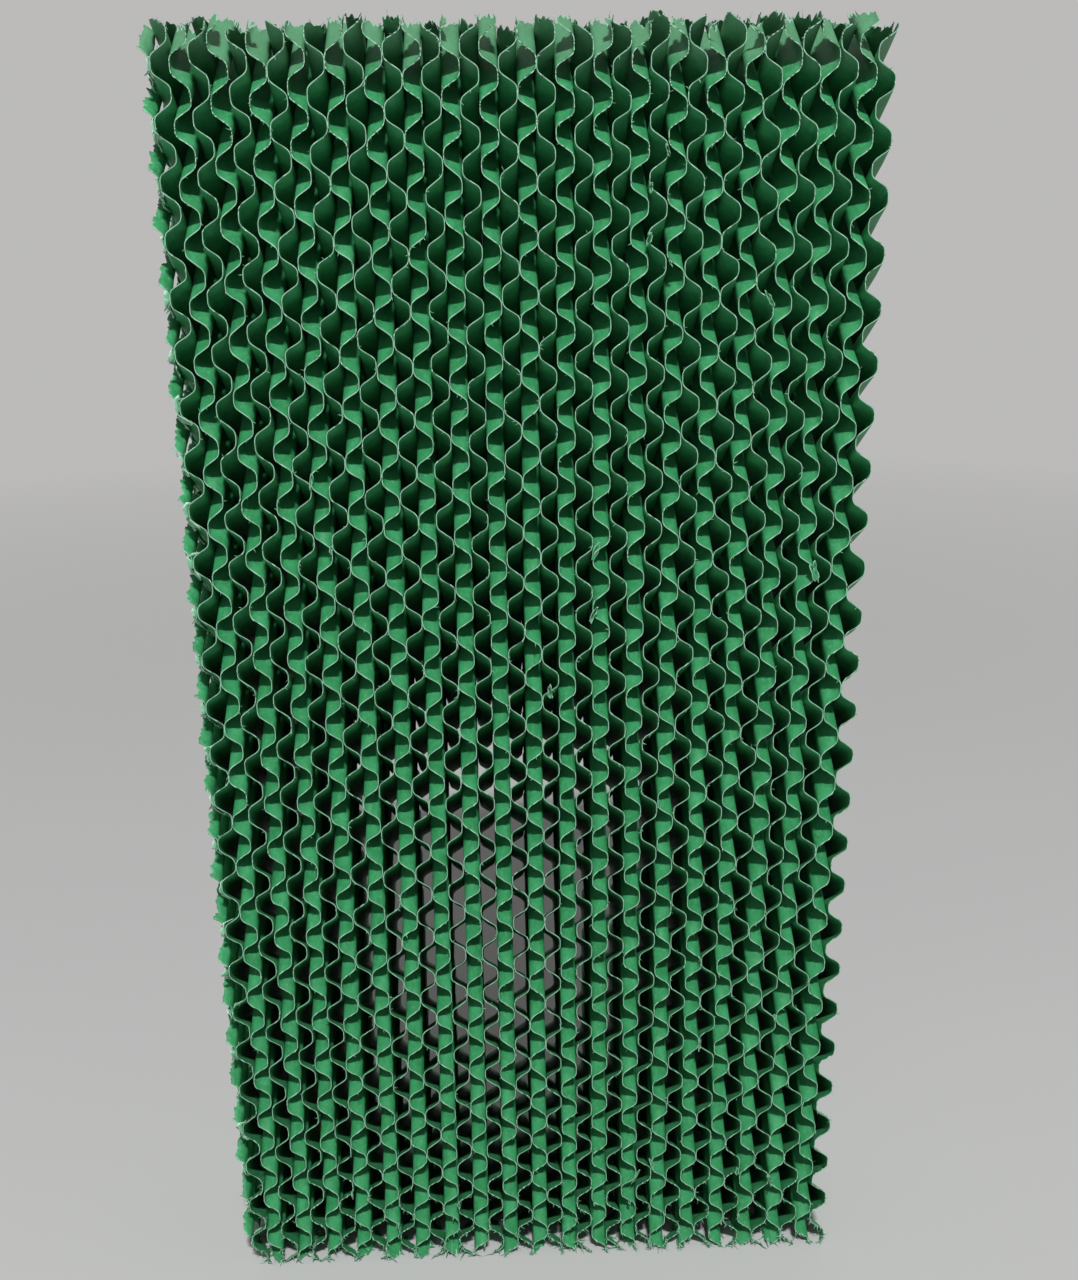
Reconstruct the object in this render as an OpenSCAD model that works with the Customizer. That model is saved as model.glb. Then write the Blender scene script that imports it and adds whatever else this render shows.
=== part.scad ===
// Evaporative cooling pad: a block of corrugated paper sheets glued crest to crest.
// Neighbouring sheets slope opposite ways, so the flutes of each cross those of the next.
// The block stands on its short cut end, centred on X and Y, with its front face towards -Y.

/* [Block] */
// Number of paper sheets side by side
sheet_count = 39; // [3:1:59]
// Height of the block as it stands
pad_height = 600; // [100:5:1200]
// Depth of the block, which is the way that the air goes
pad_depth = 75; // [30:5:150]

/* [Flutes] */
// Height of one flute from crest to crest, which is also the spacing of the sheets
flute_height = 7.7; // [6:0.1:12]
// Length of one wave, measured square to the flutes
flute_pitch = 19.8; // [14:0.1:26]
// Steepest slope of the wave between a crest and the next trough
wave_slope = 56; // [44:1:68]
// Slope of the flutes from level
flute_angle = 30; // [15:1:45]
// Thickness of the stiffened paper
paper = 0.35; // [0.2:0.05:0.8]

/* [Hidden] */
// How far each sheet's waves are shifted up the front face, in eighths of a wave, left to right
shift_eighths = [
    0, 4, 5, 7, 0, 7, 7, 5, 2, 6, 1, 5, 2, 6, 6, 3, 2, 2, 0, 4,
    0, 6, 6, 7, 7, 0, 0, 6, 3, 3, 7, 6, 1, 6, 7, 6, 0, 3, 1
];
half_wave = flute_pitch / 2;
// The middle of the paper follows round crests and troughs, joined by straight flanks
rise = flute_height - paper;
crest_radius = (half_wave * sin(wave_slope) - rise * cos(wave_slope)) / 2 / (1 - cos(wave_slope));
crest_centre = rise / 2 - crest_radius;
// The flanks lean a little less than the curves' ends, so that they meet in a clean crease
flank_slope = wave_slope - 3;
flank_start = crest_radius * sin(flank_slope);
// Half the lengths of the uncut corrugated strip: half waves across its flutes, and its reach along them
strip_waves = 2 * ceil((pad_height / 2 * cos(flute_angle) + pad_depth * sin(flute_angle)) / flute_pitch) + 4;
strip_reach = pad_height / 2 * sin(flute_angle) + pad_depth * cos(flute_angle) + flute_pitch;
$fn = 48;

function two_digits(i) = str(i < 10 ? "0" : "", i);

// Odd sheets fall towards the back, even ones rise
function tilt(i) = i % 2 == 1 ? -flute_angle : flute_angle;
function wave_shift(i) = shift_eighths[(i - 1) % len(shift_eighths)] / 8;
// Height of a flank's skin at a distance past its crest, with side 1 above the paper and -1 below
function flank(past, side) = (half_wave / 2 - past) * tan(flank_slope)
    + side * paper / 2 / cos(flank_slope);

// Discs that round the waves: side 1 those of the crests, side -1 those of the troughs
module discs(radius, side) {
    for (m = [-strip_waves:strip_waves])
        if ((m % 2 == 0) == (side == 1))
            translate([m * half_wave, side * crest_centre]) circle(radius);
}

// The space beyond one skin of the paper, up to its flanks and the outer curves on that side
module beyond(side) {
    reach = strip_waves * half_wave + flank_start;
    difference() {
        polygon(concat(
            [[-reach, side * 2 * flute_height]],
            [for (m = [-strip_waves:strip_waves], end = [-1, 1]) [
                m * half_wave + end * flank_start,
                flank(m % 2 == 0 ? flank_start : half_wave - flank_start, side)
            ]],
            [[reach, side * 2 * flute_height]]
        ));
        discs(crest_radius + paper / 2, side);
    }
}

// Section of a sheet square to its flutes: the waves run along X and rise along Y
module wave_section() {
    difference() {
        square([2 * (strip_waves - 1) * half_wave, 2 * flute_height], center = true);
        for (side = [1, -1]) {
            beyond(side);
            discs(crest_radius - paper / 2, side);
        }
    }
}

// The uncut strip: the section drawn out along the flutes, waves going up and flutes going back
module corrugated_strip(shift) {
    rotate([0, -90, -90])
    translate([shift * flute_pitch, 0, 0])
    linear_extrude(2 * strip_reach, center = true) wave_section();
}

// One sheet: the strip tilted about the middle of the front face, and cut to the block's faces
module fluted_sheet(i) {
    color("seagreen")
    translate([(i - (sheet_count + 1) / 2) * flute_height, 0, 0])
    intersection() {
        translate([0, -pad_depth / 2, pad_height / 2])
        rotate([tilt(i), 0, 0])
        corrugated_strip(wave_shift(i));
        translate([-flute_height, -pad_depth / 2, 0])
        cube([2 * flute_height, pad_depth, pad_height]);
    }
}

for (i = [1:sheet_count])
    fluted_sheet(i);
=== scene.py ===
import math
import random

import bpy
from mathutils import Euler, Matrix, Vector, noise


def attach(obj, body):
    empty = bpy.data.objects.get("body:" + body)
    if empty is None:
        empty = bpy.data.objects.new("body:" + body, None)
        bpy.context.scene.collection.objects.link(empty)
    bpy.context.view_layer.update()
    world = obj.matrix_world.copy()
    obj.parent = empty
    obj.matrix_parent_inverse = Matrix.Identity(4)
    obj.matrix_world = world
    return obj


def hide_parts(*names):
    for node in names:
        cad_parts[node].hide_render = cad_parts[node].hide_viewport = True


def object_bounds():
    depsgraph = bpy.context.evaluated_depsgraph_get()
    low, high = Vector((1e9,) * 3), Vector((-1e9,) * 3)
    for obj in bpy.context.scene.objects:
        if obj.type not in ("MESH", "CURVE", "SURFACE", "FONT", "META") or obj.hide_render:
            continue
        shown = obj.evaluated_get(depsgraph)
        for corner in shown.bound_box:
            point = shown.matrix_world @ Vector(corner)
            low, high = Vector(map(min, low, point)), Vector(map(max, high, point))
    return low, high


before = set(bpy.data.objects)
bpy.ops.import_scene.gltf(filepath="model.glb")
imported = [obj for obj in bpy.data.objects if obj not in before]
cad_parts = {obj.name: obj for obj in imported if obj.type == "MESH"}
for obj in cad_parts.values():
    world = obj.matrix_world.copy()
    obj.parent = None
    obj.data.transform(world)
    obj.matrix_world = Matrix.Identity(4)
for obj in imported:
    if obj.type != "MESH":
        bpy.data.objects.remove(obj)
cadLow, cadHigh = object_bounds()
scene = bpy.context.scene
scene.view_settings.view_transform = "Standard"
print("frame loaded:", len(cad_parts), "sheets")


# node helpers

class Field:
    # a number flowing through a node tree, so that the trees below read as formulas
    def __init__(self, socket):
        self.socket = socket

    def __add__(self, other): return calc("ADD", self, other)
    def __radd__(self, other): return calc("ADD", other, self)
    def __sub__(self, other): return calc("SUBTRACT", self, other)
    def __rsub__(self, other): return calc("SUBTRACT", other, self)
    def __mul__(self, other): return calc("MULTIPLY", self, other)
    def __rmul__(self, other): return calc("MULTIPLY", other, self)
    def __truediv__(self, other): return calc("DIVIDE", self, other)
    def __rtruediv__(self, other): return calc("DIVIDE", other, self)


def feed(socket, value):
    if isinstance(value, Field):
        socket.id_data.links.new(value.socket, socket)
    else:
        socket.default_value = value


def addNode(tree, kind, inputs=None, **settings):
    made = tree.nodes.new(kind)
    for key, value in settings.items():
        setattr(made, key, value)
    for key, value in (inputs or {}).items():
        feed(made.inputs[key], value)
    return made


def out(made, key=0):
    return Field(made.outputs[key])


def calc(operation, *values):
    tree = next(v.socket.id_data for v in values if isinstance(v, Field))
    return out(addNode(tree, "ShaderNodeMath", dict(enumerate(values)), operation=operation))


def pick(test, yes, no):
    return no + test * (yes - no)  # test is 0 or 1


def newTree(name, inputs):
    tree = bpy.data.node_groups.new(name, "GeometryNodeTree")
    keys = {}
    for label, kind in inputs.items():
        keys[label] = tree.interface.new_socket(
            name=label, in_out="INPUT", socket_type="NodeSocket" + kind).identifier
    tree.interface.new_socket(name="Geometry", in_out="OUTPUT", socket_type="NodeSocketGeometry")
    source = tree.nodes.new("NodeGroupInput")
    return tree, keys, {label: Field(source.outputs[label]) for label in inputs}


def closeTree(tree, geometry, material):
    real = addNode(tree, "GeometryNodeRealizeInstances", {0: geometry})
    dressed = addNode(tree, "GeometryNodeSetMaterial", {"Geometry": out(real), "Material": material})
    feed(tree.nodes.new("NodeGroupOutput").inputs[0], out(dressed))


def addPiece(name, mesh):
    piece = bpy.data.objects.new(name, mesh)
    scene.collection.objects.link(piece)
    return piece


def makePlain(piece):
    # keeps what the piece's modifiers make as a plain mesh
    graph = bpy.context.evaluated_depsgraph_get()
    made = bpy.data.meshes.new_from_object(
        piece.evaluated_get(graph), preserve_all_data_layers=True, depsgraph=graph)
    piece.modifiers.clear()
    piece.data = made
    return made


def settle(name, tree, keys, values, mesh=None):
    # runs a tree once and keeps its result
    piece = addPiece(name, mesh or bpy.data.meshes.new(name))
    build = piece.modifiers.new("build", "NODES")
    build.node_group = tree
    for label, value in values.items():
        build[keys[label]] = value
    makePlain(piece).name = name
    return piece


# camera, placed as for the photograph

view = {
    "lens": 41.0, "place": (-0.0213, -0.6655, 0.5496), "turn": (71.63, 0.567, -2.36),
    "photo": (1078, 1280),  # width and height of the photograph in pixels
}


def makeCamera():
    lens = bpy.data.cameras.new("camera")
    lens.lens = view["lens"]
    made = bpy.data.objects.new("camera", lens)
    made.location = view["place"]
    made.rotation_euler = Euler([math.radians(a) for a in view["turn"]], "XYZ")
    scene.collection.objects.link(made)
    scene.camera = made
    return made


def pixelOnFace(column, row, y):
    # the place at a depth y that a pixel of the photograph shows
    width, height = view["photo"]
    focal = camera.data.lens / camera.data.sensor_width * max(width, height)
    ray = Vector(((column - width / 2) / focal, (height / 2 - row) / focal, -1.0))
    ray.rotate(camera.rotation_euler)
    return camera.location + ray * ((y - camera.location.y) / ray.y)


camera = makeCamera()
print("camera made")


# paper finishes

fibres = {
    "cloudDetail": 4.0, "cloudRoughness": 0.62, "speckDetail": 3.0, "speckRoughness": 0.7,
    "turn": (0.5, 0.2, 0.0), "stretch": (1.0, 0.35, 1.0),  # how the fibres lie in the paper
    "strandScale": 0.6, "speckRelief": 0.6, "strandRelief": 0.4,
}
finish = {
    # spans over which the pale dye, the specks and the gloss come in
    "dyeSpan": (0.35, 0.68), "speckSpan": (0.54, 0.74), "glossSpan": (0.3, 0.7), "roughness": (0.52, 0.72),
    "fadeSpan": (0.985, 1.0), "fadeCloud": 0.04,  # share of the height, blurred by the clouds
    "wearSpan": (0.95, 1.0), "wearSpeck": 0.5, "wearCloud": 0.8,  # sawn edges, broken up by the fibres
    "bumpDepth": 0.0004, "specular": 0.65,
}


def fibreGroup():
    # cloudy dye, fine fibre specks and the height of the fibres, from Object coordinates
    tree = bpy.data.node_groups.new("paperFibre", "ShaderNodeTree")
    for label in ("Cloud Scale", "Speck Scale"):
        tree.interface.new_socket(name=label, in_out="INPUT", socket_type="NodeSocketFloat")
    for label in ("Cloud", "Speck", "Height"):
        tree.interface.new_socket(name=label, in_out="OUTPUT", socket_type="NodeSocketFloat")
    source = tree.nodes.new("NodeGroupInput")
    cloudScale, speckScale = out(source, 0), out(source, 1)
    place = out(addNode(tree, "ShaderNodeTexCoord"), "Object")
    cloud = out(addNode(tree, "ShaderNodeTexNoise", {
        "Vector": place, "Scale": cloudScale,
        "Detail": fibres["cloudDetail"], "Roughness": fibres["cloudRoughness"]}))
    stretched = out(addNode(tree, "ShaderNodeMapping", {
        "Vector": place, "Rotation": fibres["turn"], "Scale": fibres["stretch"]}))
    speck = out(addNode(tree, "ShaderNodeTexNoise", {
        "Vector": stretched, "Scale": speckScale,
        "Detail": fibres["speckDetail"], "Roughness": fibres["speckRoughness"]}))
    strand = out(addNode(tree, "ShaderNodeTexVoronoi", {
        "Vector": stretched, "Scale": speckScale * fibres["strandScale"]}, feature="F1"))
    sink = tree.nodes.new("NodeGroupOutput")
    feed(sink.inputs["Cloud"], cloud)
    feed(sink.inputs["Speck"], speck)
    feed(sink.inputs["Height"], speck * fibres["speckRelief"] + strand * fibres["strandRelief"])
    return tree


def ramp(tree, value, span, tones=(0.0, 1.0)):
    made = addNode(tree, "ShaderNodeValToRGB", {0: value})
    for element, place, tone in zip(made.color_ramp.elements, span, tones):
        element.position = place
        element.color = (tone, tone, tone, 1.0)
    return out(made)


def mixColour(tree, share, first, second):
    made = addNode(tree, "ShaderNodeMix", data_type="RGBA", blend_type="MIX")
    feed(made.inputs[0], share)
    for socket, tone in ((made.inputs[6], first), (made.inputs[7], second)):
        feed(socket, tone if isinstance(tone, Field) else (*tone, 1.0))
    return out(made, 2)


paperFibre = fibreGroup()


def paperMaterial(name, tones):
    material = bpy.data.materials.new(name)
    material.use_nodes = True
    tree = material.node_tree
    surface = tree.nodes["Principled BSDF"]
    fibre = addNode(tree, "ShaderNodeGroup", node_tree=paperFibre)
    fibre.inputs["Cloud Scale"].default_value = tones["cloudScale"]
    fibre.inputs["Speck Scale"].default_value = tones["speckScale"]
    cloud, speck = out(fibre, "Cloud"), out(fibre, "Speck")
    dyed = mixColour(tree, ramp(tree, cloud, finish["dyeSpan"]), tones["deep"], tones["body"])
    specked = mixColour(tree, ramp(tree, speck, finish["speckSpan"], (0.0, tones["speck"])),
                        dyed, tones["pale"])
    # the top end is faded, and sawn edges are paler
    height = out(addNode(tree, "ShaderNodeSeparateXYZ", {
        0: out(addNode(tree, "ShaderNodeTexCoord"), "Object")}), "Z")
    toTop = height / float(cadHigh[2]) + cloud * finish["fadeCloud"]
    aged = mixColour(tree, ramp(tree, toTop, finish["fadeSpan"], (0.0, tones["fade"])),
                     specked, tones["faded"])
    cut = out(addNode(tree, "ShaderNodeAttribute", attribute_name="cut"), "Fac")
    wear = cut + speck * finish["wearSpeck"] + (cloud - 0.5) * finish["wearCloud"]
    worn = ramp(tree, wear, finish["wearSpan"])
    feed(surface.inputs["Base Color"], mixColour(tree, worn, aged, tones["sawn"]))
    feed(surface.inputs["Roughness"], ramp(tree, speck, finish["glossSpan"], finish["roughness"]))
    bump = addNode(tree, "ShaderNodeBump", {
        "Height": out(fibre, "Height"), "Strength": tones["bump"], "Distance": finish["bumpDepth"]})
    feed(surface.inputs["Normal"], out(bump))
    surface.inputs["Specular IOR Level"].default_value = finish["specular"]
    return material


greenPaper = paperMaterial("greenPaper", {
    "deep": (0.013, 0.190, 0.057), "body": (0.033, 0.280, 0.105), "pale": (0.12, 0.39, 0.21),
    "sawn": (0.21, 0.41, 0.28), "faded": (0.12, 0.24, 0.15), "fade": 0.45,
    "cloudScale": 110.0, "speckScale": 900.0, "speck": 0.45, "bump": 0.3})
sawnFibre = paperMaterial("sawnFibre", {
    "deep": (0.09, 0.33, 0.17), "body": (0.21, 0.46, 0.29), "pale": (0.56, 0.72, 0.61),
    "sawn": (0.43, 0.64, 0.50), "faded": (0.38, 0.56, 0.44), "fade": 0.3,
    "cloudScale": 160.0, "speckScale": 1500.0, "speck": 0.6, "bump": 0.2})
print("paper finishes made")


# fluted sheets

sheets = {
    "height": 0.600, "depth": 0.075,
    "fluteHeight": 0.0077, "flutePitch": 0.0198,
    "flankSlope": math.radians(60), "cornerRadius": 0.0030, "fluteAngle": math.radians(30),
    "paper": 0.00035, "sawnPaper": 0.00034, "sawnBand": 0.0003,  # paper is a hair thinner at a sawn edge
    # sawn ends: size of the teeth, a slower wander on top of them, and each sheet's own level
    "ragged": 0.0024, "wander": 2.4, "levels": 2.0, "levelMiddle": 0.6,
    "wanderScale": 260.0, "toothScale": 997.0, "endsApart": 40.0,
    "faceRough": 0.0008, "faceScale": 1310.0,  # unevenness of the sawn faces
    # unevenness of the waves: share of a wave, share of the height, and how fast both change
    "waveDrift": 0.17, "waveSwell": 0.12, "driftAcross": 62.0, "driftBack": 26.0, "driftDetail": 1.5,
    "rowsInWave": 20, "endRows": 88, "endMargin": 0.006, "columns": 7, "columnBunching": 1.5,
    "mergeWithin": 0.00002, "sharpAngle": 0.8, "seedStart": 1.3, "seedStep": 3.7,
    # how far each sheet's waves sit up the front face, in eighths of a wave, left to right
    "shifts": [0, 3.65, 5, 6.7, 0, 6.7, 7, 4.7, 2, 6.4, 0.7, 4.8, 1.6, 5.75, 6, 3.3, 2, 2, -0.3, 4,
               -0.3, 6.3, 6, 7.3, 6.7, 0, 0, 5.85, 3.4, 3, 7.3, 6, 1.3, 5.6, 7.35, 5.75, -0.3, 3.4, 1],
    # groups of sheets glued a little askew, and the waves that they gain over the height
    "askew": ((range(2, 7), 0.9), (range(9, 12), 0.4), (range(34, 39, 2), 1.4), (range(35, 38, 2), 0.6)),
    "askewFrom": 0.4,  # share of the height at which they keep their shift
}
sinA, cosA = math.sin(sheets["fluteAngle"]), math.cos(sheets["fluteAngle"])
halfReach = sheets["height"] / 2 * cosA                      # half the height, square to the flutes
fullReach = 2 * halfReach + sheets["depth"] * sinA           # all rows of a sheet, square to the flutes
endReach = sheets["depth"] * sinA + sheets["endMargin"]      # stretch of rows that a sawn end cuts across
frontY = -sheets["depth"] / 2
halfWave = sheets["flutePitch"] / 2
rise = sheets["fluteHeight"] - sheets["paper"]
# a crest is a narrow flat land with rounded corners
corner, slope = sheets["cornerRadius"], sheets["flankSlope"]
halfLand = halfWave / 2 - corner * math.sin(slope) \
    - (rise / 2 - corner * (1 - math.cos(slope))) / math.tan(slope)


def gainOf(number):
    return next((gain for group, gain in sheets["askew"] if number in group), 0.0)


def sheetTree():
    tree, keys, given = newTree("flutedSheet", {
        "Place": "Float", "Lean": "Float", "Shift": "Float", "Gain": "Float", "Seed": "Float",
        "Rows": "Int", "Columns": "Int", "End Share": "Float", "Height": "Float", "Depth": "Float",
        "Flute Pitch": "Float", "Paper": "Float", "Sawn Paper": "Float", "Sawn Band": "Float",
        "Ragged": "Float", "Material": "Material"})
    slab = addNode(tree, "GeometryNodeMeshCube", {
        "Size": (1.0, 1.0, 1.0), "Vertices X": 2,
        "Vertices Y": given["Columns"], "Vertices Z": given["Rows"]})
    spot = addNode(tree, "ShaderNodeSeparateXYZ", {0: out(addNode(tree, "GeometryNodeInputPosition"))})
    side, along, up = out(spot, "X") * 2.0, out(spot, "Y") + 0.5, out(spot, "Z") + 0.5
    depth, lean, seed = given["Depth"], given["Lean"], given["Seed"]

    # rows follow the flutes, and stand closer where a sawn end cuts across them
    share = given["End Share"]
    lowEnd = calc("MINIMUM", up / share, 1.0) * endReach
    middle = calc("MINIMUM", calc("MAXIMUM", (up - share) / (1.0 - 2.0 * share), 0.0), 1.0) \
        * (fullReach - 2 * endReach)
    highEnd = calc("MAXIMUM", (up - (1.0 - share)) / share, 0.0) * endReach
    across = lowEnd + middle + highEnd - halfReach

    def dots(place):
        speckle = addNode(tree, "ShaderNodeTexWhiteNoise", {"W": place}, noise_dimensions="1D")
        return out(speckle, "Value")

    def wander(apart):
        grain = addNode(tree, "ShaderNodeTexNoise", {
            "W": across * sheets["wanderScale"] + seed + apart, "Scale": 1.0, "Detail": 2.0},
            noise_dimensions="1D")
        return (out(grain) - 0.5) * (given["Ragged"] * sheets["wander"])

    # ragged ends: a slow wander, teeth, and a level of its own for each top; no foot goes below the floor
    tooth = (dots(across * sheets["toothScale"] + seed) - 0.5) * given["Ragged"]
    frayFirst = wander(0.0) + tooth
    frayLast = wander(sheets["endsApart"]) - tooth
    rising = (1.0 - lean) * 0.5  # 1 where a row's first end is at the foot of the sheet
    sunk = (dots(seed) - sheets["levelMiddle"]) * given["Ragged"] * sheets["levels"]
    frayFirst = frayFirst - pick(rising, calc("MAXIMUM", frayFirst, 0.0), sunk)
    frayLast = frayLast - pick(rising, sunk, calc("MAXIMUM", frayLast, 0.0))
    first = calc("MAXIMUM", (across - halfReach - frayFirst) / sinA, 0.0)
    last = calc("MINIMUM", (across + halfReach + frayLast) / sinA, depth)
    last = calc("MAXIMUM", last, first)

    # columns: a narrow sawn band at each end of a row, the rest closer towards its first end
    columns, band = given["Columns"] - 1.0, given["Sawn Band"] / depth
    spread = (along - 1.0 / columns) / (1.0 - 2.0 / columns)
    spread = calc("SIGN", spread) * calc("POWER", calc("ABSOLUTE", spread), sheets["columnBunching"])
    inner = band + spread * (1.0 - 2.0 * band)
    inner = calc("MINIMUM", calc("MAXIMUM", inner, 0.0), 1.0)
    back = first + inner * (last - first)
    cut = calc("GREATER_THAN", calc("ABSOLUTE", along - 0.5), 0.4999)  # the outermost columns

    # the wave: narrow lands with rounded corners, joined by straight flanks, a little uneven
    half = given["Flute Pitch"] * 0.5
    drift = addNode(tree, "ShaderNodeTexNoise", {
        "Vector": out(addNode(tree, "ShaderNodeCombineXYZ", {
            "X": across * sheets["driftAcross"], "Y": back * sheets["driftBack"], "Z": seed})),
        "Scale": 1.0, "Detail": sheets["driftDetail"]})
    uneven = addNode(tree, "ShaderNodeSeparateXYZ", {0: out(drift, "Color")})
    climb = lean * across / (2 * halfReach) + (0.5 - sheets["askewFrom"])
    phase = lean * across - (given["Shift"] + given["Gain"] * climb) * given["Flute Pitch"] \
        + (out(uneven, "X") - 0.5) * (sheets["flutePitch"] * sheets["waveDrift"])
    fromCrest = calc("PINGPONG", phase, half)
    near = calc("MINIMUM", fromCrest, half - fromCrest)
    sign = calc("SIGN", half * 0.5 - fromCrest)
    bend = calc("MAXIMUM", near - halfLand, 0.0)
    chord = calc("SQRT", calc("MAXIMUM", corner ** 2 - bend * bend, 1e-9))  # never a root of 0
    rounded = calc("LESS_THAN", bend, corner * math.sin(slope))
    wave = pick(rounded, chord + (rise / 2 - corner), (half * 0.5 - near) * math.tan(slope))
    skew = pick(rounded, corner / chord, 1 / math.cos(slope))
    swell = 1.0 + (out(uneven, "Y") - 0.5) * sheets["waveSwell"]
    thick = given["Paper"] + cut * (given["Sawn Paper"] - given["Paper"])
    x = given["Place"] + sign * wave * swell + side * thick * skew * 0.5
    rough = dots(across * sheets["faceScale"] + seed) - 0.5
    y = back - depth * 0.5 + cut * rough * sheets["faceRough"]
    z = given["Height"] * 0.5 + lean * (across - back * sinA) / cosA

    marked = addNode(tree, "GeometryNodeStoreNamedAttribute", {
        "Geometry": out(slab), "Name": "cut", "Value": cut}, data_type="FLOAT", domain="POINT")
    bent = addNode(tree, "GeometryNodeSetPosition", {
        "Geometry": out(marked),
        "Position": out(addNode(tree, "ShaderNodeCombineXYZ", {"X": x, "Y": y, "Z": z}))})
    merged = addNode(tree, "GeometryNodeMergeByDistance", {
        "Geometry": out(bent), "Distance": sheets["mergeWithin"]})
    smooth = addNode(tree, "GeometryNodeSetShadeSmooth", {0: out(merged), "Shade Smooth": True})
    angle = out(addNode(tree, "GeometryNodeInputMeshEdgeAngle"), "Unsigned Angle")
    sharp = addNode(tree, "GeometryNodeSetShadeSmooth", {
        0: out(smooth), "Selection": calc("GREATER_THAN", angle, sheets["sharpAngle"]),
        "Shade Smooth": False}, domain="EDGE")
    closeTree(tree, out(sharp), given["Material"])
    return tree, keys


sheetNodes, sheetKeys = sheetTree()
names = sorted(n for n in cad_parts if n.startswith("fluted_sheet_"))
middleRows = round((fullReach - 2 * endReach) / sheets["flutePitch"] * sheets["rowsInWave"])
rowCount = middleRows + 2 * sheets["endRows"] + 1
paperSheets = []
for index, name in enumerate(names):
    sheet = settle("sheet_" + name[-2:], sheetNodes, sheetKeys, {
        "Place": (index - (len(names) - 1) / 2) * sheets["fluteHeight"],
        "Lean": 1.0 if index % 2 == 0 else -1.0,
        "Shift": sheets["shifts"][index] / 8, "Gain": gainOf(index + 1),
        "Seed": sheets["seedStep"] * index + sheets["seedStart"],
        "Rows": rowCount, "Columns": sheets["columns"], "End Share": sheets["endRows"] / (rowCount - 1),
        "Height": sheets["height"], "Depth": sheets["depth"], "Flute Pitch": sheets["flutePitch"],
        "Paper": sheets["paper"], "Sawn Paper": sheets["sawnPaper"], "Sawn Band": sheets["sawnBand"],
        "Ragged": sheets["ragged"], "Material": greenPaper})
    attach(sheet, "root")
    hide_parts(name)
    paperSheets.append(sheet)
print("fluted sheets made:", len(paperSheets), "with", len(paperSheets[0].data.polygons), "faces each")


# torn paper: helpers

def waveHeight(offset):
    # middle of the paper at a distance square to the flutes from a crest
    near = offset % (2 * halfWave)
    near = min(near, 2 * halfWave - near)
    sign = 1.0
    if near > halfWave / 2:
        near, sign = halfWave - near, -1.0
    bend = max(near - halfLand, 0.0)
    if bend < corner * math.sin(slope):
        return sign * (math.sqrt(corner ** 2 - bend ** 2) + rise / 2 - corner)
    return sign * (halfWave / 2 - near) * math.tan(slope)


def addPaper(name, points, faces, cuts, thickness, material):
    # thin open skins become closed paper
    mesh = bpy.data.meshes.new(name)
    mesh.from_pydata(points, [], faces)
    mesh.attributes.new("cut", "FLOAT", "POINT").data.foreach_set("value", cuts)
    mesh.materials.append(material)
    piece = addPiece(name, mesh)
    wall = piece.modifiers.new("wall", "SOLIDIFY")
    wall.thickness = thickness
    wall.offset = 0.0
    solid = makePlain(piece)
    solid.shade_smooth()
    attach(piece, "root")
    return len(solid.polygons)


# torn strips: remains of one more sheet, left on the outer crests of the first sheet

tornStrips = {
    "crests": range(-16, 16), "steps": 75, "across": 8, "clearOfEnds": 0.004, "thickness": 0.0003,
    "floorWidth": 0.0050, "hangWidth": 0.0020, "leastWidth": 0.0005,
    "wander": 0.0009, "slowTears": 260, "quickTears": 900, "quickShare": 0.8,
    "tail": 0.0016, "tailSpread": (0.3, 1.35), "tailReach": 0.004,  # longer tongue at the front
    "curl": 0.0002, "flutter": 0.0006, "flutterAlong": 90, "flutterAcross": 300,
    "tornEdge": 0.75, "lowest": 0.0005, "seed": 11,
}


def makeTornStrips():
    dice = random.Random(tornStrips["seed"])
    place = -(len(names) + 1) / 2 * sheets["fluteHeight"]
    shift = sheets["shifts"][0] / 8 + 0.5
    columns, least = tornStrips["across"], tornStrips["leastWidth"]
    slow, quick, margin = tornStrips["slowTears"], tornStrips["quickTears"], tornStrips["clearOfEnds"]
    points, faces, cuts = [], [], []
    for k in tornStrips["crests"]:
        middle = (shift + k) * sheets["flutePitch"]
        phase = dice.uniform(0, 50)
        tail = tornStrips["tail"] * dice.uniform(*tornStrips["tailSpread"])
        start = len(points)
        rows = 0
        for step in range(tornStrips["steps"] + 1):
            back = sheets["depth"] * step / tornStrips["steps"]
            height = (middle + back * sinA) / cosA + sheets["height"] / 2
            if not margin < height < sheets["height"] - margin:
                continue
            # each edge of each strip reads its own stretch of the noise
            ragged = [noise.noise((phase + 9.7 * side, back * slow, k * 3.1))
                      + tornStrips["quickShare"] * noise.noise((phase, back * quick, k * 7.7 + side))
                      for side in (0, 1)]
            lower = tornStrips["hangWidth"] + tornStrips["wander"] * ragged[0] \
                + tail * math.exp(-(back / tornStrips["tailReach"]) ** 2)
            upper = tornStrips["floorWidth"] + tornStrips["wander"] * ragged[1]
            lower, upper = max(lower, least), max(upper, least)
            for j in range(columns + 1):
                share = j / columns
                offset = -lower + share * (lower + upper)
                edge = abs(2 * share - 1) ** 3
                x = place + waveHeight(offset) - edge * tornStrips["curl"] * (1 + ragged[0])
                lift = tornStrips["flutter"] * noise.noise((
                    back * tornStrips["flutterAlong"], phase, offset * tornStrips["flutterAcross"]))
                points.append((x + lift, frontY + back + tornStrips["flutter"] * ragged[1],
                               max(height + offset / cosA, tornStrips["lowest"])))
                cuts.append(tornStrips["tornEdge"] if j in (0, columns) or step == 0 else 0.0)
            rows += 1
        wide = columns + 1
        for r in range(rows - 1):
            for j in range(columns):
                a = start + r * wide + j
                faces.append((a, a + 1, a + wide + 1, a + wide))
    return addPaper("torn_strips", points, faces, cuts, tornStrips["thickness"], greenPaper)


# torn patches where the next sheet was glued to the first, and torn scraps on the front face

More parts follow.
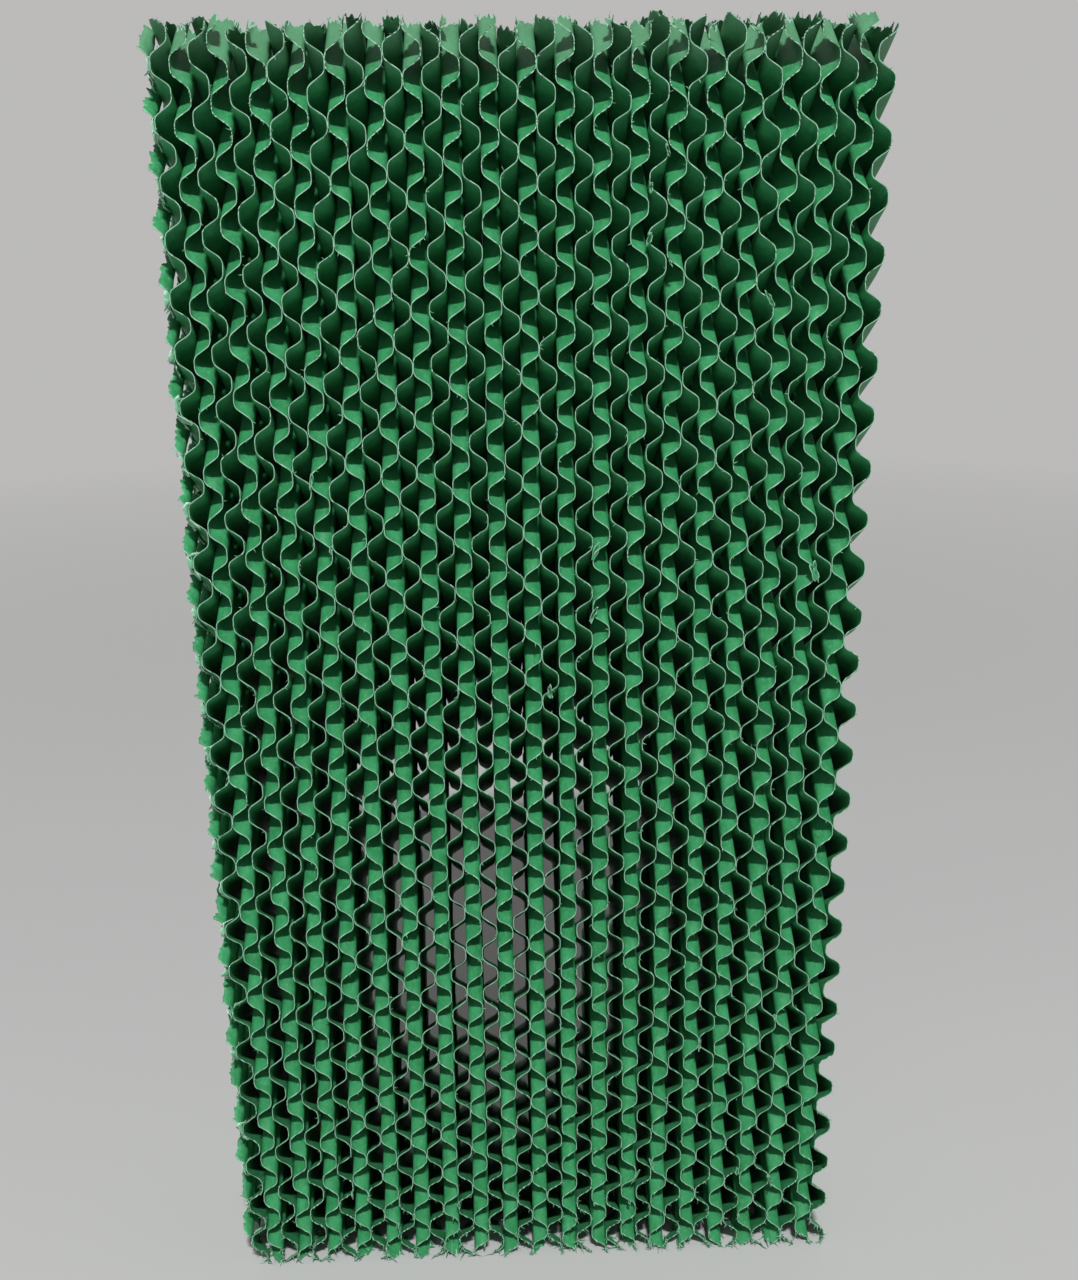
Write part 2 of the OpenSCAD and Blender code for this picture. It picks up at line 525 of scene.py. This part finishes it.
tornPatches = {
    "rings": 4, "spokes": 18, "radius": (0.0024, 0.0052), "length": 1.5, "thickness": 0.0003,
    "ragged": 0.5, "lobes": 1.6, "curl": (0.0006, 0.0022), "flutter": 1.3,
    "tornRim": 0.9, "tornBody": 0.2,
    "crests": range(-14, 18), "crossings": 4, "frontDepth": 0.0030, "frontSpread": (0.5, 1.2),
    "missing": 0.12, "overhang": 0.0006, "lowest": 0.001,
    "clearOfFloor": 0.006, "clearOfEnds": 0.004, "seed": 23,
}
tornScraps = {
    # the torn spots on the front face: columns and rows of pixels, picked in the photograph
    "spots": ((655, 150), (660, 187), (657, 240), (668, 262), (770, 300), (318, 482), (330, 550), (595, 552),
              (800, 570), (593, 613), (558, 690), (497, 708), (773, 1018), (712, 1043), (655, 1163),
              (735, 1170), (625, 1177), (770, 1177)),
    "radius": (0.0012, 0.0030), "curl": (0.0006, 0.0024), "slim": (0.25, 0.6), "lean": (-0.6, 0.6),
    "twist": 0.5, "inset": 0.0006, "lowest": 0.001, "thickness": 0.00025,
    "crumbs": 30, "crumbFoot": 0.003, "crumbHeight": 0.040, "crumbRadius": (0.0006, 0.0013), "seed": 31,
}


def addPatch(points, faces, cuts, dice, spot, radius, curl, skin):
    # a ragged round scrap: skin turns a place along and across the flutes into a point
    start = len(points)
    rings, spokes, lobes = tornPatches["rings"], tornPatches["spokes"], tornPatches["lobes"]
    phase = dice.uniform(0, 90)  # its own stretch of the noise
    points.append(skin(spot, 0.0, 0.0, 0.0))
    cuts.append(0.0)
    for ring in range(1, rings + 1):
        for spoke in range(spokes):
            turn = 2 * math.pi * spoke / spokes
            lobe = noise.noise((phase, lobes * math.cos(turn), lobes * math.sin(turn)))
            rough = 1 + tornPatches["ragged"] * (lobe + dice.uniform(-0.5, 0.5))
            far = radius * rough * ring / rings
            flutter = 1 + tornPatches["flutter"] * noise.noise((phase + 5, spoke * 0.5, ring * 0.4))
            lift = curl * (ring / rings) ** 2 * flutter
            points.append(skin(spot, tornPatches["length"] * far * math.cos(turn),
                               far * math.sin(turn), max(lift, 0.0)))
            cuts.append(tornPatches["tornRim"] if ring == rings else tornPatches["tornBody"] * ring / rings)
    for spoke in range(spokes):
        after = (spoke + 1) % spokes
        faces.append((start, start + 1 + spoke, start + 1 + after))
        for ring in range(rings - 1):
            a = start + 1 + ring * spokes
            faces.append((a + spoke, a + spokes + spoke, a + spokes + after, a + after))


def makeTornPatches():
    dice = random.Random(tornPatches["seed"])
    place = -(len(names) - 1) / 2 * sheets["fluteHeight"]
    fall, pitchUp = sinA / cosA, sheets["flutePitch"] / cosA
    over, lowest, margin = tornPatches["overhang"], tornPatches["lowest"], tornPatches["clearOfEnds"]
    points, faces, cuts = [], [], []

    def skin(spot, along, across, lift):
        back, height = spot
        x = place - waveHeight(across) - sheets["paper"] - lift
        y = min(max(frontY + back + along * cosA + across * sinA, frontY - over), over - frontY)
        z = height - along * sinA + across * cosA
        return (x, y, min(max(z, lowest), sheets["height"] - lowest))

    first = sheets["height"] / 2 + (sheets["shifts"][0] / 8 + 0.5) * pitchUp
    for k in tornPatches["crests"]:
        crest = first + k * pitchUp
        for crossing in [tornPatches["frontDepth"] * dice.uniform(*tornPatches["frontSpread"])] \
                + [pitchUp / (2 * fall) * (n + 0.5) for n in range(tornPatches["crossings"])]:
            height = crest - crossing * fall
            radius, curl = dice.uniform(*tornPatches["radius"]), dice.uniform(*tornPatches["curl"])
            if dice.random() < tornPatches["missing"]:
                continue
            if tornPatches["clearOfFloor"] < height < sheets["height"] - margin \
                    and crossing < sheets["depth"] - margin:
                addPatch(points, faces, cuts, dice, (crossing, height), radius, curl, skin)
    return addPaper("torn_patches", points, faces, cuts, tornPatches["thickness"], sawnFibre)


def makeTornScraps():
    dice = random.Random(tornScraps["seed"])
    middleSheet = (len(names) + 1) / 2
    points, faces, cuts = [], [], []

    def skin(spot, along, across, lift):
        x, height, slim, lean = spot
        side = across * slim
        return (x + side + along * lean, frontY + tornScraps["inset"] + side * tornScraps["twist"] - lift,
                max(height + along, tornScraps["lowest"]))

    spots = []
    for column, row in tornScraps["spots"]:
        seen = pixelOnFace(column, row, frontY)
        number = round(seen.x / sheets["fluteHeight"] + middleSheet)
        spots.append((number, round(seen.z, 3), tornScraps["radius"]))
    for _ in range(tornScraps["crumbs"]):
        height = tornScraps["crumbFoot"] + tornScraps["crumbHeight"] * dice.random() ** 2
        spots.append((dice.randint(2, len(names) - 1), height, tornScraps["crumbRadius"]))
    for number, height, radius in spots:
        climb = height / sheets["height"] - sheets["askewFrom"]
        turns = sheets["shifts"][number - 1] / 8 + gainOf(number) * climb
        x = (number - middleSheet) * sheets["fluteHeight"] \
            + waveHeight((height - sheets["height"] / 2) * cosA - turns * sheets["flutePitch"])
        spot = (x, height, dice.uniform(*tornScraps["slim"]), dice.uniform(*tornScraps["lean"]))
        addPatch(points, faces, cuts, dice, spot, dice.uniform(*radius),
                 dice.uniform(*tornScraps["curl"]), skin)
    return addPaper("torn_scraps", points, faces, cuts, tornScraps["thickness"], greenPaper)


print("torn strips made:", makeTornStrips(), "faces, patches:", makeTornPatches(),
      "faces, scraps:", makeTornScraps(), "faces")


# frayed fibres: slivers of paper standing off the sawn edges

slivers = {
    "topSpacing": 0.0042, "topLength": (0.0007, 0.0024), "topWidth": (0.00020, 0.0005), "topRise": 0.9,
    "bottomSpacing": 0.0018, "bottomLength": (0.0020, 0.0060), "bottomWidth": (0.0003, 0.0008),
    "bottomRise": 1.3, "bottomSplay": 1.6, "bottomDroop": -0.35, "bottomLongest": 0.0065, "bottomLift": 0.3,
    "spacingSpread": (0.3, 1.7), "strandShare": 0.05, "strandLength": (0.003, 0.006),
    "endBand": 0.0045, "endSide": 0.55, "endForward": -0.15, "endTilt": 0.5,
    "endFlatness": 0.3, "endCurl": 0.0022,
    "faceSpacing": 0.017, "faceLength": (0.0006, 0.0022), "faceWidth": (0.00015, 0.0004),
    "faceBand": 0.0006, "rowSpacing": 0.0011, "faceOut": (0.15, 0.8), "faceSide": 0.7, "faceSag": -0.1,
    "faceFlatness": 0.5, "faceCurl": 0.0008,
    "lowReach": 0.018, "lowMore": 5, "lowLonger": 0.8, "lowWider": 0.6,  # more and larger near the floor
    "tip": 0.12, "gustScale": 420.0, "floorLift": 0.0006, "broadSpread": (1.0, 0.6, 1.0), "seed": 5,
}


def sliverTree():
    tree, keys, given = newTree("frayedSlivers", {
        "Points": "Geometry", "Curl": "Float", "Flatness": "Float", "Material": "Material"})
    blade = addNode(tree, "GeometryNodeMeshCone", {
        "Vertices": 3, "Side Segments": 2, "Radius Top": slivers["tip"], "Radius Bottom": 1.0, "Depth": 1.0})
    spot = addNode(tree, "ShaderNodeSeparateXYZ", {0: out(addNode(tree, "GeometryNodeInputPosition"))})
    flat = addNode(tree, "GeometryNodeSetPosition", {
        "Geometry": out(blade, "Mesh"),
        "Position": out(addNode(tree, "ShaderNodeCombineXYZ", {
            "X": out(spot, "X"), "Y": out(spot, "Y") * given["Flatness"], "Z": out(spot, "Z")}))})

    def told(name):
        return out(addNode(tree, "GeometryNodeInputNamedAttribute", {"Name": name},
                           data_type="FLOAT_VECTOR"))

    turned = out(addNode(tree, "FunctionNodeAxesToRotation", {0: told("aim"), 1: told("broad")},
                         primary_axis="Z", secondary_axis="X"))
    spread = addNode(tree, "GeometryNodeInstanceOnPoints", {
        "Points": given["Points"], "Instance": out(flat), "Rotation": turned,
        "Scale": told("size")})
    real = out(addNode(tree, "GeometryNodeRealizeInstances", {0: out(spread)}))
    place = out(addNode(tree, "GeometryNodeInputPosition"))
    gust = addNode(tree, "ShaderNodeTexNoise", {
        "Vector": place, "Scale": slivers["gustScale"], "Detail": 1.0})
    push = addNode(tree, "ShaderNodeVectorMath", {0: out(gust, "Color"), 1: (0.5, 0.5, 0.5)},
                   operation="SUBTRACT")
    curled = addNode(tree, "GeometryNodeSetPosition", {"Geometry": real, "Offset": out(addNode(
        tree, "ShaderNodeVectorMath", {0: out(push), "Scale": given["Curl"]}, operation="SCALE"))})
    # what would reach below the floor lies on it
    tip = addNode(tree, "ShaderNodeSeparateXYZ", {0: place})
    lain = addNode(tree, "GeometryNodeSetPosition", {
        "Geometry": out(curled), "Position": out(addNode(tree, "ShaderNodeCombineXYZ", {
            "X": out(tip, "X"), "Y": out(tip, "Y"),
            "Z": calc("MAXIMUM", out(tip, "Z"), out(gust) * slivers["floorLift"])}))})
    smooth = addNode(tree, "GeometryNodeSetShadeSmooth", {0: out(lain), "Shade Smooth": True})
    closeTree(tree, out(smooth), given["Material"])
    return tree, keys


def endSlivers(rim, dice):
    made = []
    for end, side, level in ((1.0, "top", sheets["height"]), (-1.0, "bottom", 0.0)):
        near = sorted((p for p in rim if abs(p.z - level) < slivers["endBand"]), key=lambda p: p.y)
        done = -1.0
        for p in near:
            if p.y < done:
                continue
            done = p.y + slivers[side + "Spacing"] * dice.uniform(*slivers["spacingSpread"])
            long = dice.uniform(*slivers[side + "Length"])
            if dice.random() < slivers["strandShare"]:
                long = dice.uniform(*slivers["strandLength"])
            aim = Vector((dice.gauss(0, slivers["endSide"]),
                          dice.gauss(slivers["endForward"], slivers["endTilt"]),
                          end * slivers[side + "Rise"])).normalized()
            if end < 0:
                splay = slivers["bottomSplay"]
                long = min(long, slivers["bottomLongest"])
                aim = Vector((aim.x * splay, aim.y * splay, slivers["bottomDroop"])).normalized()
                p = Vector((p.x, p.y, max(p.z, long * slivers["bottomLift"])))
            wide = dice.uniform(*slivers[side + "Width"])
            made.append((p.copy(), aim, (wide, wide, long)))
    return made


def faceSlivers(rim, dice):
    made = []
    for p in rim:
        if abs(abs(p.y) - sheets["depth"] / 2) >= slivers["faceBand"]:
            continue
        low = math.exp(-p.z / slivers["lowReach"])
        if dice.random() > slivers["rowSpacing"] / slivers["faceSpacing"] * (1 + slivers["lowMore"] * low):
            continue
        outward = dice.uniform(*slivers["faceOut"]) * (-1.0 if p.y < 0 else 1.0)
        aim = Vector((dice.gauss(0, slivers["faceSide"]), outward,
                      dice.gauss(slivers["faceSag"], slivers["faceSide"]))).normalized()
        long, wide = dice.uniform(*slivers["faceLength"]), dice.uniform(*slivers["faceWidth"])
        long, wide = long * (1 + slivers["lowLonger"] * low), wide * (1 + slivers["lowWider"] * low)
        made.append((p.copy(), aim, (wide, wide, long)))
    return made


def sliverPoints():
    # picks spots along the sawn edges of every sheet, with the way each sliver leans
    dice = random.Random(slivers["seed"])
    ends, faces = [], []
    for sheet in paperSheets:
        marks = sheet.data.attributes["cut"].data
        rim = [v.co for v in sheet.data.vertices if marks[v.index].value > 0.9]  # marked as sawn
        ends += endSlivers(rim, dice)
        faces += faceSlivers(rim, dice)
    return ends, faces


def makeSlivers(name, spots, flatness, curl):
    mesh = bpy.data.meshes.new(name + "_points")
    mesh.from_pydata([p for p, aim, size in spots], [], [])
    dice = random.Random(slivers["seed"] + 1)
    for label, values in (
            ("aim", [c for p, aim, size in spots for c in aim]),
            ("size", [c for p, aim, size in spots for c in size]),
            ("broad", [dice.gauss(0, spread) for _ in spots for spread in slivers["broadSpread"]])):
        mesh.attributes.new(label, "FLOAT_VECTOR", "POINT").data.foreach_set("vector", values)
    tree, keys = sliverNodes
    piece = settle(name, tree, keys, {"Curl": curl, "Flatness": flatness, "Material": sawnFibre}, mesh)
    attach(piece, "root")


sliverNodes = sliverTree()
endSpots, faceSpots = sliverPoints()
makeSlivers("frayed_ends", endSpots, slivers["endFlatness"], slivers["endCurl"])
makeSlivers("frayed_faces", faceSpots, slivers["faceFlatness"], slivers["faceCurl"])
print("slivers made:", len(endSpots), "at the ends,", len(faceSpots), "on the faces")


# floor and light

studio = {
    "floor": (0.46, 0.465, 0.46), "floorDark": 0.97, "floorGrain": 3.0, "floorRoughness": 0.7,
    "floorSpecular": 0.2, "floorRadius": 12, "floorCorners": 96, "floorDrop": 0.0005,
    "background": (0.50, 0.495, 0.49), "fadeReach": 4.0, "fadeSpan": (0.12, 0.55),
    "worldTone": (1.0, 0.99, 0.975), "worldStrength": 0.24, "aim": (0.0, 0.0, 0.3),
    "keyPlace": (0.15, -3.00, 4.20), "keySize": (0.5, 0.22), "keyPower": 288.0,
    "fillPlace": (-0.7, -1.9, 0.9), "fillSize": (1.6, 1.2), "fillPower": 3.5,
}


def seenRay(tree):
    # rays that show the background: straight from the camera, off gloss and through glass
    path = addNode(tree, "ShaderNodeLightPath")
    direct = calc("MAXIMUM", out(path, "Is Camera Ray"), out(path, "Is Glossy Ray"))
    return calc("MAXIMUM", direct, out(path, "Is Transmission Ray"))


def blendShaders(tree, share, first, second, sink):
    blend = addNode(tree, "ShaderNodeMixShader", {0: share})
    tree.links.new(first.outputs[0], blend.inputs[1])
    tree.links.new(second.outputs[0], blend.inputs[2])
    tree.links.new(blend.outputs[0], tree.nodes[sink].inputs["Surface"])


def makeFloor():
    # wide disc whose far part takes the background's own tone, so no horizon shows
    mesh = bpy.data.meshes.new("floor")
    radius, corners = studio["floorRadius"], studio["floorCorners"]
    turns = [2 * math.pi * k / corners for k in range(corners)]
    points = [(radius * math.cos(a), radius * math.sin(a), -studio["floorDrop"]) for a in turns]
    mesh.from_pydata(points, [], [list(range(corners))])
    floor = addPiece("floor", mesh)
    material = bpy.data.materials.new("floorPaper")
    material.use_nodes = True
    tree = material.node_tree
    surface = tree.nodes["Principled BSDF"]
    place = out(addNode(tree, "ShaderNodeTexCoord"), "Object")
    grain = out(addNode(tree, "ShaderNodeTexNoise", {
        "Vector": place, "Scale": studio["floorGrain"], "Detail": 3.0}))
    feed(surface.inputs["Base Color"], mixColour(
        tree, grain, studio["floor"], tuple(studio["floorDark"] * c for c in studio["floor"])))
    surface.inputs["Roughness"].default_value = studio["floorRoughness"]
    surface.inputs["Specular IOR Level"].default_value = studio["floorSpecular"]
    far = out(addNode(tree, "ShaderNodeVectorMath", {0: place}, operation="LENGTH"), "Value")
    fade = ramp(tree, far / studio["fadeReach"], studio["fadeSpan"])
    glow = addNode(tree, "ShaderNodeEmission", {"Color": (*studio["background"], 1.0), "Strength": 1.0})
    blendShaders(tree, fade * seenRay(tree), surface, glow, "Material Output")
    mesh.materials.append(material)


def makeWorld():
    world = bpy.data.worlds.new("studio")
    world.use_nodes = True
    tree = world.node_tree
    light = tree.nodes["Background"]
    light.inputs["Color"].default_value = (*studio["worldTone"], 1.0)
    light.inputs["Strength"].default_value = studio["worldStrength"]
    shown = addNode(tree, "ShaderNodeBackground", {"Color": (*studio["background"], 1.0), "Strength": 1.0})
    blendShaders(tree, seenRay(tree), light, shown, "World Output")
    scene.world = world


def makeLamp(name):
    lamp = bpy.data.lights.new(name, "AREA")
    lamp.shape = "RECTANGLE"
    lamp.size, lamp.size_y = studio[name + "Size"]
    lamp.energy = studio[name + "Power"]
    place = Vector(studio[name + "Place"])
    made = bpy.data.objects.new(name, lamp)
    made.location = place
    made.rotation_euler = (Vector(studio["aim"]) - place).to_track_quat("-Z", "Y").to_euler()
    scene.collection.objects.link(made)


makeFloor()
makeWorld()
makeLamp("key")
makeLamp("fill")
print("floor and light made")

bpy.context.view_layer.update()
